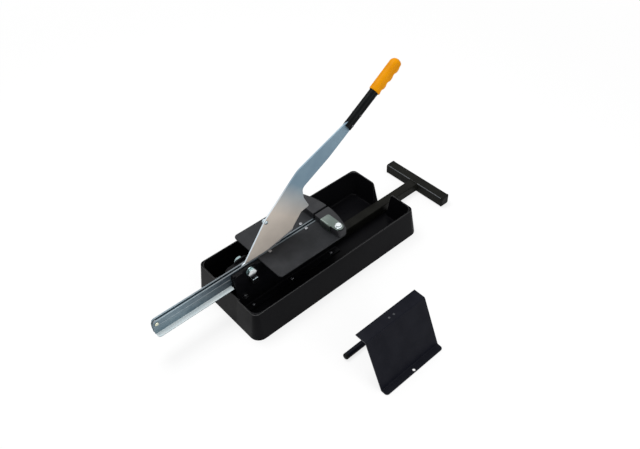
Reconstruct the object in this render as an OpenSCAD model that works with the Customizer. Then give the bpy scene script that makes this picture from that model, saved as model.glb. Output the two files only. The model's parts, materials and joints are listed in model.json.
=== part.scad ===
// Lever cutter for laminate boards: a moulded tub with a slotted rail, a lever blade hinged in the slot,
// a fence with a swinging stop, a T-foot that slides out behind, and a loose end stand.
// Millimetres. X runs from the slot towards the end stand, Y from the rail's free end to the T-foot, Z up.
// The origin is the middle of the tub's underside, in the plane of the blade.

/* [Tray] */
// Width of the tray at the ground
tray_w = 262; // [236:1:320]
// Length of the tray at the ground
tray_l = 570; // [550:1:680]
// Height of the rim
tray_h = 82; // [74:1:100]
// Corner radius at the ground
tray_corner = 26; // [22:1:50]
// How far the outer walls lean in between ground and rim
skirt_lean = 12; // [8:0.5:14]
// How far the tub draws in between rim and floor
tub_lean = 6; // [4:0.5:8]
// Thickness of the moulded walls
tray_wall = 3; // [2:0.1:4]
// Thickness of the tray's floor
tray_floor = 2.6; // [2:0.1:3.4]
// Width of the front bay below the rail
bay_w = 92; // [70:1:120]
// How far the bay's wall leans in between ground and rim
bay_lean = 16; // [14:1:20]
// How far the bay's rim lies below the tray's rim
bay_drop = 2; // [1:0.5:6]
// Width of the rear notch at the rim
notch_w = 70; // [50:1:110]

/* [Carrier] */
// Thickness of a cheek plate
carrier_t = 4; // [3:0.5:6]
// Distance from the tray's front edge to the cheeks
carrier_y = 30; // [28:1:36]
// Length of the cheeks
carrier_l = 326; // [320:1:354]
// Reach of the foot flange beside a cheek
carrier_foot = 20; // [16:1:30]
// Radius of the ear around the pivot
ear_r = 16; // [15:0.5:20]
// Height of a packer bar
packer_h = 40; // [32:1:50]
// Diameter of the clamp bolts
clamp_d = 8; // [6:1:8]

/* [Rail] */
// Height of the rails above the tray's rim
rail_lift = 4; // [2:0.5:10]
// Length of the rails
rail_l = 540; // [536:1:552]
// How far the rails reach out in front of the tray
rail_out = 188; // [176:1:192]
// Height of the rail profile
rail_h = 42; // [40:1:48]
// Sheet thickness of the rails
rail_t = 2; // [1.5:0.1:2.5]
// Width of the folded top edge
hem_w = 4; // [3:0.5:6]
// Reach of the bottom flange from the slot
flange_w = 16; // [10:1:24]
// How far the bottom flange runs in behind the tray's front edge
flange_in = 27; // [16:1:29]
// Width of the blade slot
slot_w = 5.2; // [4.8:0.1:6]

/* [Blade] */
// Thickness of the blade
blade_t = 4; // [3:0.1:4.2]
// Radius of the heel around the pivot
heel_r = 13; // [12:0.5:15]
// Distance from the pivot to the toe of the cutting edge
toe_reach = 152; // [140:1:165]
// Distance from the pivot to the tooth
tooth_reach = 223; // [215:1:228]
// Distance from the pivot to the bend of the back
bend_reach = 271; // [262:1:290]
// Distance from the pivot to the start of the handle tube
handle_reach = 424; // [394:1:460]
// Width of the arm at the handle tube
arm_w = 31; // [26:1:40]
// Width of the ground bevel along the cutting edge
bevel_w = 9; // [4:1:14]

/* [Pivot] */
// Distance from the tray's front edge to the pivot
pivot_y = 77.5; // [70:0.5:84]
// How far the pivot lies below the bed
pivot_drop = 12; // [11:0.5:16]
// Diameter of the pivot bolt
pivot_d = 12; // [10:1:13]
// Outer diameter of the pivot bush
bush_d = 17; // [15:0.5:20]
// Running clearance between bolt and bush, on the radius
run_gap = 0.05; // [0.02:0.01:0.08]

/* [Handle] */
// Diameter of the handle tube
tube_d = 24; // [20:1:26]
// Wall of the handle tube
tube_wall = 2.5; // [1.5:0.5:3]
// Length of the handle from the arm to the end of the grip
handle_l = 207; // [195:1:250]
// Length of the grip
grip_l = 98; // [90:1:108]
// Diameter of the grip
grip_d = 32; // [31:1:36]
// Depth of the arm's tang in the tube
tang_l = 62; // [58:1:74]

/* [Bed and fence] */
// Distance from the tray's front edge to the bed plates
bed_y = 112; // [106:1:125]
// Reach of a bed plate from the slot plane
bed_w = 96; // [94:1:120]
// Thickness of a bed plate
bed_t = 4; // [3:0.5:5]
// Distance from the tray's front edge to the fence's face
fence_y = 303; // [302:1:306]
// Height of the fence above the bed
fence_h = 19; // [14:1:26]
// Depth of the fence at the slot
fence_depth = 47; // [44:1:50]
// How far the fence's rear face bows back at the slot
fence_bow = 22; // [12:1:24]

/* [Stop arm] */
// Distance from the slot plane to the stop's bolt
stop_x = 80; // [76:1:80]
// Length of the arm from its bolt to its tip
stop_l = 52; // [40:1:58]
// Width of the arm
stop_w = 26; // [24:1:28]
// Sheet thickness of the arm
stop_t = 3; // [2:0.5:4]
// Diameter of the stop's bolt
stop_d = 8; // [6:1:8]

/* [T-foot] */
// Width of the square shaft
shaft_w = 28; // [24:1:34]
// Wall of the shaft and the crossbar
foot_wall = 2; // [1.5:0.5:3]
// Wall of the shaft guide beside the shaft
guide_wall = 2; // [1.6:0.1:3]
// Length of the shaft guide
guide_l = 36; // [34:1:37]
// Clear distance between tray and crossbar when pulled out
foot_gap = 120; // [118:1:180]
// Length of the crossbar tube
crossbar_l = 212; // [160:1:260]
// Width of the square crossbar
crossbar_w = 30; // [28:1:40]
// Thickness of the crossbar's end caps
cap_t = 6; // [4:1:10]

/* [End stand] */
// Distance from the slot plane to the stand's lower fold
stand_x = 425; // [400:1:600]
// Distance from the tray's front edge to the stand's middle
stand_y = 222; // [180:1:260]
// Width of the stand's panel
stand_w = 190; // [140:1:240]
// How far the panel's top leans in from its fold
stand_lean = 53; // [40:1:58]
// Reach of the foot flange
stand_foot = 18; // [16:1:30]
// Reach of the top flange
stand_top = 32; // [31:1:40]
// Sheet thickness of the stand
stand_t = 2.5; // [2:0.1:3]
// Diameter of the hole in the foot flange
stand_hole_d = 7; // [5:0.5:9]
// Diameter of the rear rod
rod_d = 16; // [12:1:20]
// Distance from the lower fold to the rear rod
rod_reach = 119; // [112:1:150]
// Width of the strut
strut_w = 30; // [26:1:50]
// Thickness of the strut
strut_t = 4; // [3:0.5:6]

/* [Hidden] */
$fn = 48;
clear = 0.3;
seat = 0.05;
head_in = 0.8;
bolt_out = 2.5;

front_y = -tray_l / 2;
rail_z = tray_h + rail_lift;
bed_z = rail_z + rail_h;
deck_z = bed_z - bed_t;
packer_z = deck_z - packer_h;
web_x = slot_w / 2 + rail_t;
hem_h = 4;
hem_x = slot_w / 2 + hem_w;
bead = 1.5;
bead_low = rail_z + rail_h / 3;
bead_high = rail_z + 2 * rail_h / 3 - 2;

carrier_in = shaft_w / 2 + guide_wall;
carrier_x = carrier_in + carrier_t;
pivot = [from_front(pivot_y), bed_z - pivot_drop];

// Cross bolts: below the pivot, two below the fence, two low ones with distance tubes
clamp_front = [pivot.x + 2.5, pivot.y - 24];
clamp_rear = [for (back = [1, 33]) [from_front(fence_y - 2 + back), rail_z + 17]];
clamp_tie = [[from_front(carrier_y + 22), tray_h / 2 + 2],
    [from_front(carrier_y + 0.54 * carrier_l), tray_h / 2 + 14]];
clamp_rail = concat([clamp_front], clamp_rear);
clamp_all = concat(clamp_rail, clamp_tie);
clamp_flats = 13;
clamp_head = 5.3;
clamp_nut = 6.5;
square_w = 16;
square_l = 16;
tie_r = clamp_d / 2 + 3;
spacer_r = clamp_d / 2 + 4;

end_rivet = [from_front(10 - rail_out), (bead_high + bed_z - hem_h) / 2];
end_rivet_r = 3;
pivot_flats = pivot_d + 10;
pivot_head = 8;
washer_t = 2.5;
washer_r = pivot_d / 2 + 8;

// Blade, seen from the side, in the plane of Y and Z with the pivot at zero
toe = polar(toe_reach, 7.7);
tooth = polar(tooth_reach, 18.9);
bend = polar(bend_reach, 47.4);
handle_a = 33.2;
handle_at = polar(handle_reach, 35.4);
handle_dir = polar(1, handle_a);
handle_up = polar(1, handle_a + 90);
toe_step = [4.6, 14.6];
tooth_step = [26.9, 4.5];
heel_back = 8.2;
heel_low = 7;
armpit_out = 15;
shoulder_l = 10;
arm_curve = 120;
bend_r = 60;
hump_r = 80;
edge_start = polar(heel_r, 7.7 - acos(heel_r / toe_reach));
tang_w = tube_d - 2 * tube_wall - 1;
rivet_r = 2.5;
rivet_at = [9, 40];
tube_start = -2;
tube_short = 12;
grip_end = 9;
finger = grip_l / 4;
finger_r = 25;
finger_in = 2.8;

bed_l = fence_y + fence_depth - bed_y;
fence_x = slot_w / 2 + 0.6;
fence_end_r = 9;
fence_z = bed_z + fence_h;
bow_r = (pow(bed_w, 2) + pow(fence_bow, 2)) / (2 * fence_bow);
stop_y = fence_y + stop_w / 2;
stop_z = fence_z + clear;
stop_washer_t = 1.6;
fence_screw_at = [[28, fence_y + 10], [60, fence_y + 10]];
bed_screw_at = [for (share = [0.15, 0.65]) bed_y + share * bed_l];
screw_r = 2.5;
bed_screw_in = 15;
fence_screw_in = 11;
fence_screw_head = 3;
bed_screw_x = (hem_x + carrier_in) / 2;

shaft_z = tray_floor + 0.4;
guide_y = carrier_y + carrier_l - 2 - guide_l;
guide_top = shaft_z + shaft_w + 9;
crossbar_y = tray_l + foot_gap;
cap_w = crossbar_w + 3;
cap_in = 12;
crossbar_z = (cap_w - crossbar_w) / 2;
plug_t = 10;
plug_in = 15;

stand_mid = from_front(stand_y);
stand_corner = 8;
rod_x = stand_x - rod_reach;
rod_cap = 6;
strut_z = bed_z - stand_t - strut_t / 2;
strut_x = stand_x - stand_lean - stand_top + 6;

// Helpers

function from_front(d) = front_y + d;
function polar(r, a) = r * [cos(a), sin(a)];
function unit(v) = v / norm(v);
function left_of(a, b) = let (d = unit(b - a)) [-d.y, d.x];
function wrap(a) = a > 180 ? a - 360 : a < -180 ? a + 360 : a;

// Arc that rounds the corner p between a and b
function corner_arc(a, p, b, r, steps = 6) =
    let (u = unit(a - p), v = unit(b - p), half = acos(u * v) / 2, mid = p + unit(u + v) * r / sin(half),
         s = p + u * r / tan(half) - mid, e = p + v * r / tan(half) - mid,
         from = atan2(s.y, s.x), sweep = wrap(atan2(e.y, e.x) - from))
    [for (i = [0:steps]) mid + polar(r, from + sweep * i / steps)];

// Outline from [x, y, corner radius] points
function rounded(p) = let (n = len(p), at = [for (q = p) [q[0], q[1]]])
    [for (i = [0:n - 1]) each (p[i][2] == 0 ? [at[i]]
        : corner_arc(at[(i + n - 1) % n], at[i], at[(i + 1) % n], p[i][2]))];

// Section of a folded sheet of thickness t along a path, with inner fold radius r
function side_point(p, i, d) = let (last = len(p) - 1)
    i == 0 ? p[0] + d * left_of(p[0], p[1])
    : i == last ? p[last] + d * left_of(p[last - 1], p[last])
    : let (m = left_of(p[i - 1], p[i]), n = left_of(p[i], p[i + 1])) p[i] + d * (m + n) / (1 + m * n);
function turns_left(p, i) = cross(p[i] - p[i - 1], p[i + 1] - p[i]) > 0;
function fold_r(p, i, t, r, left) = i == 0 || i == len(p) - 1 ? 0 : turns_left(p, i) == left ? r : r + t;
function sheet(p, t, r) = let (last = len(p) - 1) rounded(concat(
    [for (i = [0:last]) let (q = side_point(p, i, t / 2)) [q.x, q.y, fold_r(p, i, t, r, true)]],
    [for (i = [last:-1:0]) let (q = side_point(p, i, -t / 2)) [q.x, q.y, fold_r(p, i, t, r, false)]]));

function rect(w, l, r) =
    rounded([[-w / 2, -l / 2, r], [w / 2, -l / 2, r], [w / 2, l / 2, r], [-w / 2, l / 2, r]]);

// Extrudes an outline drawn in Y and Z along X
module across(x, t) {
    translate([x, 0, 0]) rotate([90, 0, 90]) linear_extrude(t) children();
}

// Extrudes an outline drawn in X and Z along Y
module along(y, l) {
    translate([0, y + l, 0]) rotate([90, 0, 0]) linear_extrude(l) children();
}

// Round bar along X through a point of the Y and Z plane
module cross_bar(at, x0, x1, r) {
    translate([x0, at.x, at.y]) rotate([0, 90, 0]) cylinder(h = x1 - x0, r = r);
}

// Hexagon along X with the given width across flats
module cross_hex(at, x0, x1, flats) {
    translate([x0, at.x, at.y]) rotate([0, 90, 0]) cylinder(h = x1 - x0, r = flats / sqrt(3), $fn = 6);
}

// Square bar along X
module cross_square(at, x0, x1, w) {
    translate([x0, at.x - w / 2, at.y - w / 2]) cube([x1 - x0, w, w]);
}

module upright(x, y, z0, z1, r) {
    translate([x, y, z0]) cylinder(h = z1 - z0, r = r);
}

// Block with rounded corners whose sides draw in by lean over its height
module drafted(w, l, h, r, lean) {
    low = rect(w, l, r);
    high = rect(w - 2 * lean, l - 2 * lean, r - lean);
    n = len(low);
    polyhedron(concat([for (q = low) [q.x, q.y, 0]], [for (q = high) [q.x, q.y, h]]), concat(
        [[for (i = [0:n - 1]) i], [for (i = [n - 1:-1:0]) n + i]],
        [for (i = [0:n - 1]) [i, n + i, n + (i + 1) % n, (i + 1) % n]]));
}

// Brings the blade's plane to its place
module at_pivot() {
    translate([0, pivot.x, pivot.y]) children();
}

// Brings the Z axis onto the handle's axis, with +Y on its underside
module at_handle() {
    at_pivot() translate([0, handle_at.x, handle_at.y]) rotate([handle_a - 90, 0, 0]) children();
}

module both_sides() {
    children();
    mirror([1, 0, 0]) children();
}

// Tray

skirt_w = tray_w - 2 * tray_wall;
skirt_l = tray_l - 2 * tray_wall;
tub_w = tray_w - 2 * (skirt_lean + tray_wall + tub_lean);
tub_l = tray_l - 2 * (skirt_lean + tray_wall + tub_lean);
tub_r = tray_corner - tub_lean - tray_wall;
notch_lean = 9;
notch_r = 10;
notch_wall = notch_w / 2 + tray_wall;
rib_t = 2;
rib_lift = 4;

module skirt_block() {
    drafted(tray_w, tray_l, tray_h, tray_corner, skirt_lean);
}

module tub_block(grow, z) {
    translate([0, 0, z])
        drafted(tub_w + 2 * grow, tub_l + 2 * grow, tray_h - tray_floor, tub_r + grow, -tub_lean);
}

// Everything in front of the bay's leaning wall, set back by depth
module bay_front(w, depth) {
    across(-w / 2, w) polygon([[front_y + depth, 0], [front_y + depth + bay_lean, tray_h],
        [front_y - 1, tray_h], [front_y - 1, 0]]);
}

module notch_cut() {
    foot = notch_w / 2 - notch_lean;
    top = notch_w / 2;
    along(tray_l / 2 - 50, 60) polygon(rounded([[-foot, tray_floor, 0], [foot, tray_floor, 0],
        [top, tray_h, notch_r], [top + 3 * notch_r, tray_h + 3, 0], [-top - 3 * notch_r, tray_h + 3, 0],
        [-top, tray_h, notch_r]]));
}

rivet_rows = [carrier_y + 36, carrier_y + carrier_l / 2, carrier_y + carrier_l - 26];
rivet_x = carrier_x + carrier_foot / 2;

module floor_rivets(r, z0, z1) {
    both_sides() for (row = rivet_rows) upright(rivet_x, from_front(row), z0, z1, r);
}

// Webs that stiffen the hollow walls from below
module wall_ribs() {
    for (share = [-0.36, -0.12, 0.12, 0.36])
        translate([-tray_w / 2, share * tray_l - rib_t / 2, rib_lift]) cube([tray_w, rib_t, tray_h]);
    for (side = [-1, 1])
        translate([side * 0.3 * tray_w - rib_t / 2, -tray_l / 2, rib_lift]) cube([rib_t, tray_l, tray_h]);
}

// Leaves the rim as thick as the walls
module below_rim() {
    translate([-tray_w, -tray_l, -1]) cube([2 * tray_w, 2 * tray_l, tray_h - tray_wall + 1]);
}

module base_tray() {
    color([0.07, 0.07, 0.08]) difference() {
        union() {
            difference() {
                skirt_block();
                tub_block(0, tray_floor);
                difference() {
                    intersection() {
                        translate([0, 0, -0.01])
                            drafted(skirt_w, skirt_l, tray_h, tray_corner - tray_wall, skirt_lean);
                        below_rim();
                    }
                    for (z = [-0.02, tray_floor]) tub_block(tray_wall, z);
                    wall_ribs();
                    translate([-notch_wall, 0, -1]) cube([2 * notch_wall, tray_l, tray_h + 2]);
                }
            }
            intersection() {
                skirt_block();
                bay_front(bay_w + 2 * tray_wall, tray_wall);
            }
        }
        bay_front(bay_w, 0);
        translate([-bay_w / 2, front_y - 1, tray_h - bay_drop]) cube([bay_w, bay_lean + 8, tray_h]);
        notch_cut();
        floor_rivets(screw_r + seat, -1, tray_floor + 1);
    }
}

// Carrier

module carrier_side() {
    top = deck_z;
    y0 = from_front(carrier_y);
    y1 = y0 + carrier_l;
    foot = tray_floor;
    ear = pivot.y + ear_r;
    mid_x = carrier_x - carrier_t / 2;
    difference() {
        intersection() {
            along(y0, carrier_l) polygon(sheet([[carrier_x + carrier_foot, foot + carrier_t / 2],
                [mid_x, foot + carrier_t / 2], [mid_x, ear + 1]], carrier_t, 3));
            across(0, carrier_x + carrier_foot + 1) polygon(rounded([[y0, foot - 1, 0], [y1, foot - 1, 0],
                [y1, tray_h, 14], [y1 - 18, top, 10], [pivot.x + ear_r + 6, top, 6],
                [pivot.x + ear_r - 3, ear, 10], [pivot.x - ear_r + 3, ear, 10],
                [pivot.x - ear_r - 6, top, 6], [y0, top, 12]]));
        }
        cross_bar(pivot, 0, carrier_x + 1, pivot_d / 2 + seat);
        for (at = clamp_all) cross_bar(at, 0, carrier_x + 1, clamp_d / 2 + seat);
        guide_screw_set(screw_r + seat);
        floor_rivets(screw_r + seat, 0, foot + carrier_t + 1);
    }
}

module carrier_right() {
    color([0.10, 0.10, 0.11]) carrier_side();
}

module carrier_left() {
    color([0.10, 0.10, 0.11]) mirror([1, 0, 0]) carrier_side();
}

module carrier_rivets() {
    seat_z = tray_floor + carrier_t;
    color([0.55, 0.57, 0.60]) {
        floor_rivets(screw_r, 0.2, seat_z + head_in);
        both_sides() for (row = rivet_rows) translate([rivet_x, from_front(row), seat_z])
            cylinder(h = 2.2, r1 = 2 * screw_r, r2 = 1.4 * screw_r);
    }
}

module packer() {
    y0 = from_front(carrier_y);
    y1 = y0 + carrier_l - 6;
    difference() {
        across(web_x, carrier_in - web_x) polygon(rounded([[y0, packer_z, 4], [y1, packer_z, 4],
            [y1, deck_z - 20, 4], [y1 - 12, deck_z, 4], [y0, deck_z, 4]]));
        cross_bar(pivot, 0, carrier_x, pivot_d / 2 + seat);
        for (at = clamp_rail) cross_bar(at, 0, carrier_x, clamp_d / 2 + seat);
        for (d = bed_screw_at) upright(bed_screw_x, from_front(d), deck_z - bed_screw_in - 1, deck_z + 1,
            screw_r + seat);
    }
}

module packer_right() {
    color([0.12, 0.12, 0.13]) packer();
}

module packer_left() {
    color([0.12, 0.12, 0.13]) mirror([1, 0, 0]) packer();
}

// Rail

module rail_side() {
    x0 = slot_w / 2;
    y0 = from_front(-rail_out);
    y1 = y0 + rail_l;
    flange_y = from_front(flange_in);
    hem_z = bed_z - hem_h;
    difference() {
        union() {
            along(flange_y, y1 - flange_y) polygon([[x0, rail_z], [web_x, rail_z], [web_x, hem_z],
                [hem_x, hem_z], [hem_x, bed_z], [x0, bed_z]]);
            intersection() {
                along(y0, flange_y - y0) polygon([[x0, rail_z], [x0 + flange_w, rail_z],
                    [x0 + flange_w, rail_z + rail_t], [web_x, rail_z + rail_t], [web_x, bead_low],
                    [web_x + bead, bead_low + bead], [web_x + bead, bead_high - bead], [web_x, bead_high],
                    [web_x, hem_z], [hem_x, hem_z], [hem_x, bed_z], [x0, bed_z], [x0, bead_high],
                    [x0 + bead, bead_high - bead], [x0 + bead, bead_low + bead], [x0, bead_low]]);
                translate([0, 0, rail_z]) linear_extrude(rail_h) polygon(rounded([[x0, y0, 0],
                    [x0 + flange_w, y0, 9], [x0 + flange_w, flange_y, 0], [x0, flange_y, 0]]));
                across(x0, flange_w) polygon(rounded([[y0, rail_z, 5], [flange_y, rail_z, 0],
                    [flange_y, bed_z, 0], [y0, bed_z, 12]]));
            }
        }
        cross_bar(pivot, 0, carrier_x, pivot_d / 2 + seat);
        for (at = clamp_rail) cross_bar(at, 0, carrier_x, clamp_d / 2 + seat);
        cross_bar(end_rivet, 0, carrier_x, end_rivet_r + seat);
    }
}

module rail_right() {
    color([0.72, 0.75, 0.77]) rail_side();
}

module rail_left() {
    color([0.72, 0.75, 0.77]) mirror([1, 0, 0]) rail_side();
}

module slot_spacers() {
    half = slot_w / 2;
    color([0.60, 0.62, 0.64]) {
        for (at = clamp_rear) difference() {
            cross_bar(at, -half, half, spacer_r);
            cross_bar(at, -slot_w, slot_w, clamp_d / 2 + seat);
        }
        difference() {
            cross_bar(end_rivet, -half, half, end_rivet_r + 4);
            cross_bar(end_rivet, -slot_w, slot_w, end_rivet_r + seat);
        }
    }
}

module rail_end_rivet() {
    color([0.80, 0.82, 0.84]) {
        cross_bar(end_rivet, -web_x - head_in, web_x + head_in, end_rivet_r);
        both_sides() translate([web_x, end_rivet.x, end_rivet.y]) rotate([0, 90, 0])
            cylinder(h = 2.5, r1 = end_rivet_r + 2.5, r2 = end_rivet_r + 1);
    }
}

module clamp_bolts() {
    color([0.62, 0.64, 0.66]) for (at = clamp_all) {
        cross_bar(at, -carrier_x - clamp_nut - bolt_out, carrier_x + head_in, clamp_d / 2);
        if (at == clamp_front) cross_square(at, carrier_x, carrier_x + square_l, square_w);
        else cross_hex(at, carrier_x, carrier_x + clamp_head, clamp_flats);
    }
}

module clamp_nuts() {
    color([0.62, 0.64, 0.66]) for (at = clamp_all) difference() {
        cross_hex(at, -carrier_x - clamp_nut, -carrier_x, clamp_flats);
        cross_bar(at, -carrier_x - clamp_nut - 1, 0, clamp_d / 2 + seat);
    }
}

module tie_tubes() {
    color([0.15, 0.15, 0.16]) for (at = clamp_tie) difference() {
        cross_bar(at, -carrier_in, carrier_in, tie_r);
        cross_bar(at, -carrier_x, carrier_x, clamp_d / 2 + seat);
    }
}

// Guide of the foot shaft

guide_screw_in = 8;
guide_screw_z = guide_top - 4.5;

module guide_screw_set(r) {
    both_sides() for (share = [0.25, 0.75])
        cross_bar([from_front(guide_y + share * guide_l), guide_screw_z], carrier_in - guide_screw_in,
            carrier_x + head_in, r);
}

module shaft_guide() {
    out = carrier_in - seat;
    gap = shaft_w / 2 + clear;
    roof = shaft_z + shaft_w + clear;
    color([0.16, 0.16, 0.17]) difference() {
        along(from_front(guide_y), guide_l) polygon([[-out, tray_floor], [-gap, tray_floor], [-gap, roof],
            [gap, roof], [gap, tray_floor], [out, tray_floor], [out, guide_top], [-out, guide_top]]);
        guide_screw_set(screw_r + seat);
    }
}

module guide_screws() {
    color([0.55, 0.57, 0.60]) {
        guide_screw_set(screw_r);
        both_sides() for (share = [0.25, 0.75])
            translate([carrier_x, from_front(guide_y + share * guide_l), guide_screw_z]) rotate([0, 90, 0])
                cylinder(h = 2.6, r1 = 2 * screw_r, r2 = 1.3 * screw_r);
    }
}

// Bed and fence

module bed_side(with_stop) {
    x0 = hem_x + 0.4;
    y0 = from_front(bed_y);
    rib_x = carrier_x + 0.2;
    rib_end = bed_w - 8;
    difference() {
        union() {
            translate([0, 0, deck_z]) linear_extrude(bed_t) polygon(rounded([[x0, y0, 0], [bed_w, y0, 10],
                [bed_w, y0 + bed_l - fence_bow, 10], [bed_w / 2, y0 + bed_l, 30], [x0, y0 + bed_l, 0]]));
            for (d = [10, fence_y - bed_y - 13]) along(y0 + d, bed_t) polygon([[rib_x, deck_z],
                [rib_x, deck_z - 22], [rib_x + 8, deck_z - 22], [rib_end, deck_z - 6], [rib_end, deck_z]]);
        }
        for (d = bed_screw_at) {
            upright(bed_screw_x, from_front(d), 0, bed_z + 1, screw_r + seat);
            translate([bed_screw_x, from_front(d), bed_z - screw_r])
                cylinder(h = screw_r, r1 = screw_r, r2 = 2 * screw_r);
        }
        for (at = fence_screw_at) upright(at.x, from_front(at.y), 0, bed_z + 1, screw_r + seat);
        if (with_stop) upright(stop_x, from_front(stop_y), 0, bed_z + 1, stop_d / 2 + seat);
    }
}

module bed_right() {
    color([0.22, 0.23, 0.25]) bed_side(true);
}

module bed_left() {
    color([0.22, 0.23, 0.25]) mirror([1, 0, 0]) bed_side(false);
}

module bed_screws() {
    color([0.70, 0.72, 0.74]) both_sides() for (d = bed_screw_at) {
        upright(bed_screw_x, from_front(d), deck_z - bed_screw_in, bed_z - screw_r + head_in, screw_r);
        translate([bed_screw_x, from_front(d), bed_z - screw_r])
            cylinder(h = screw_r - 0.2, r1 = screw_r, r2 = 2 * screw_r - 0.2);
    }
}

module fence_side(with_stop) {
    y0 = from_front(fence_y);
    pocket_x = [fence_screw_at[0].x + 6, fence_screw_at[1].x - 6];
    difference() {
        intersection() {
            translate([0, 0, bed_z]) linear_extrude(fence_h) polygon(rounded([[fence_x, y0, 2],
                [bed_w, y0, fence_end_r], [bed_w, y0 + fence_depth, 0], [fence_x, y0 + fence_depth, 2]]));
            upright(0, y0 + fence_depth - bow_r, bed_z, fence_z, bow_r, $fn = 96);
        }
        translate([pocket_x[0], y0 + 4, bed_z - 1])
            cube([pocket_x[1] - pocket_x[0], fence_depth - fence_bow - 8, fence_h - 4]);
        for (at = fence_screw_at) upright(at.x, from_front(at.y), bed_z - 1, bed_z + fence_screw_in + 1,
            screw_r + seat);
        if (with_stop) upright(stop_x, from_front(stop_y), bed_z - 1, fence_z + 1, stop_d / 2 + seat);
    }
}

module fence_right() {
    color([0.25, 0.26, 0.28]) fence_side(true);
}

module fence_left() {
    color([0.25, 0.26, 0.28]) mirror([1, 0, 0]) fence_side(false);
}

module fence_screws() {
    color([0.55, 0.57, 0.60]) both_sides() for (at = fence_screw_at) {
        upright(at.x, from_front(at.y), deck_z - head_in, bed_z + fence_screw_in, screw_r);
        upright(at.x, from_front(at.y), deck_z - fence_screw_head, deck_z, 1.8 * screw_r);
    }
}

// Pivot

module pivot_bolt() {
    head_x = carrier_x + washer_t;
    color([0.80, 0.82, 0.84]) {
        cross_bar(pivot, -head_x - pivot_head - bolt_out, head_x + head_in, pivot_d / 2);
        cross_hex(pivot, head_x, head_x + pivot_head, pivot_flats);
    }
}

module pivot_nut() {
    color([0.80, 0.82, 0.84]) difference() {
        cross_hex(pivot, -carrier_x - washer_t - pivot_head, -carrier_x - washer_t, pivot_flats);
        cross_bar(pivot, -2 * carrier_x, 0, pivot_d / 2 + seat);
    }
}

module pivot_washers() {
    color([0.75, 0.77, 0.79]) both_sides() difference() {
        cross_bar(pivot, carrier_x, carrier_x + washer_t, washer_r);
        cross_bar(pivot, 0, 2 * carrier_x, pivot_d / 2 + seat);
    }
}

// Stop arm and its bolt

module stop_arm() {
    y = from_front(stop_y);
    tip = stop_x - stop_l;
    half = stop_w / 2;
    top = stop_z + stop_t;
    lip_y = from_front(fence_y) - 0.5 - stop_t / 2;
    color([0.74, 0.77, 0.79]) difference() {
        union() {
            translate([0, 0, stop_z]) linear_extrude(stop_t) polygon(rounded([[tip, y - half, 0],
                [stop_x, y - half, 0], [stop_x, y + half, 0], [tip, y + half, 6]]));
            upright(stop_x, y, stop_z, top, half);
            across(tip, stop_l - half - 2) polygon(sheet([[lip_y, bed_z + 0.5], [lip_y, top - stop_t / 2],
                [y - half + 4, top - stop_t / 2]], stop_t, 1));
        }
        upright(stop_x, y, stop_z - 1, top + 1, stop_d / 2 + seat);
    }
}

module stop_bolt() {
    seat_z = stop_z + stop_t + 0.2 + stop_washer_t;
    color([0.85, 0.87, 0.88]) {
        upright(stop_x, from_front(stop_y), deck_z - clamp_nut - bolt_out, seat_z + head_in, stop_d / 2);
        upright(stop_x, from_front(stop_y), seat_z, seat_z + clamp_head, clamp_flats / sqrt(3), $fn = 6);
    }
}

module stop_washer() {
    z = stop_z + stop_t + 0.2;
    color([0.85, 0.87, 0.88]) difference() {
        upright(stop_x, from_front(stop_y), z, z + stop_washer_t, stop_d / 2 + 5);
        upright(stop_x, from_front(stop_y), 0, 2 * z, stop_d / 2 + seat);
    }
}

module stop_nut() {
    color([0.62, 0.64, 0.66]) difference() {
        upright(stop_x, from_front(stop_y), deck_z - clamp_nut, deck_z, clamp_flats / sqrt(3), $fn = 6);
        upright(stop_x, from_front(stop_y), 0, deck_z + 1, stop_d / 2 + seat);
    }
}

// Lever

module blade_outline() {
    heel = heel_back * polar(1, 143.3) - heel_low * polar(1, 53.3);
    hump = polar(0.486 * bend_reach, 55.6);
    armpit = polar(tooth_reach + armpit_out, 35.8);
    neck = polar(tooth_reach, 28.9);
    low = polar(0.8 * handle_reach, 33.4);
    arm_top = handle_at + arm_w / 2 * handle_up;
    arm_low = handle_at - arm_w / 2 * handle_up;
    tang_at = handle_at + shoulder_l * handle_dir;
    tang_top = tang_at + tang_w / 2 * handle_up;
    tang_low = tang_at - tang_w / 2 * handle_up;
    tang_end = (tang_l - shoulder_l) * handle_dir;
    toe_back = toe + toe_step;
    bill = tooth - tooth_step;
    polygon(rounded([[heel.x, heel.y, 0], [edge_start.x, edge_start.y, 0], [toe.x, toe.y, 3],
        [toe_back.x, toe_back.y, 6], [bill.x, bill.y, 12], [tooth.x, tooth.y, 4],
        [neck.x, neck.y, 20], [armpit.x, armpit.y, 14], [low.x, low.y, arm_curve], [arm_low.x, arm_low.y, 4],
        [tang_low.x, tang_low.y, 3], [tang_low.x + tang_end.x, tang_low.y + tang_end.y, 4],
        [tang_top.x + tang_end.x, tang_top.y + tang_end.y, 4], [tang_top.x, tang_top.y, 3],
        [arm_top.x, arm_top.y, 4], [bend.x, bend.y, bend_r], [hump.x, hump.y, hump_r]]));
}

// Wedge that grinds one face down to the cutting edge
module edge_bevel() {
    run = toe - edge_start;
    at_pivot() translate([0, edge_start.x, edge_start.y]) rotate([atan2(run.y, run.x), 0, 0])
        along(2, norm(run) + heel_r) polygon([[blade_t / 2 + 1, -1], [blade_t / 2 + 1, bevel_w],
            [blade_t / 2, bevel_w], [0.4 - blade_t / 2, -1]]);
}

module blade() {
    color([0.66, 0.70, 0.74]) difference() {
        union() {
            at_pivot() across(-blade_t / 2, blade_t) blade_outline();
            cross_bar(pivot, -blade_t / 2, blade_t / 2, heel_r);
        }
        edge_bevel();
        cross_bar(pivot, -blade_t, blade_t, bush_d / 2);
        at_handle() for (d = rivet_at) cross_bar([0, d], -blade_t, blade_t, rivet_r + seat);
    }
}

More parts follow.
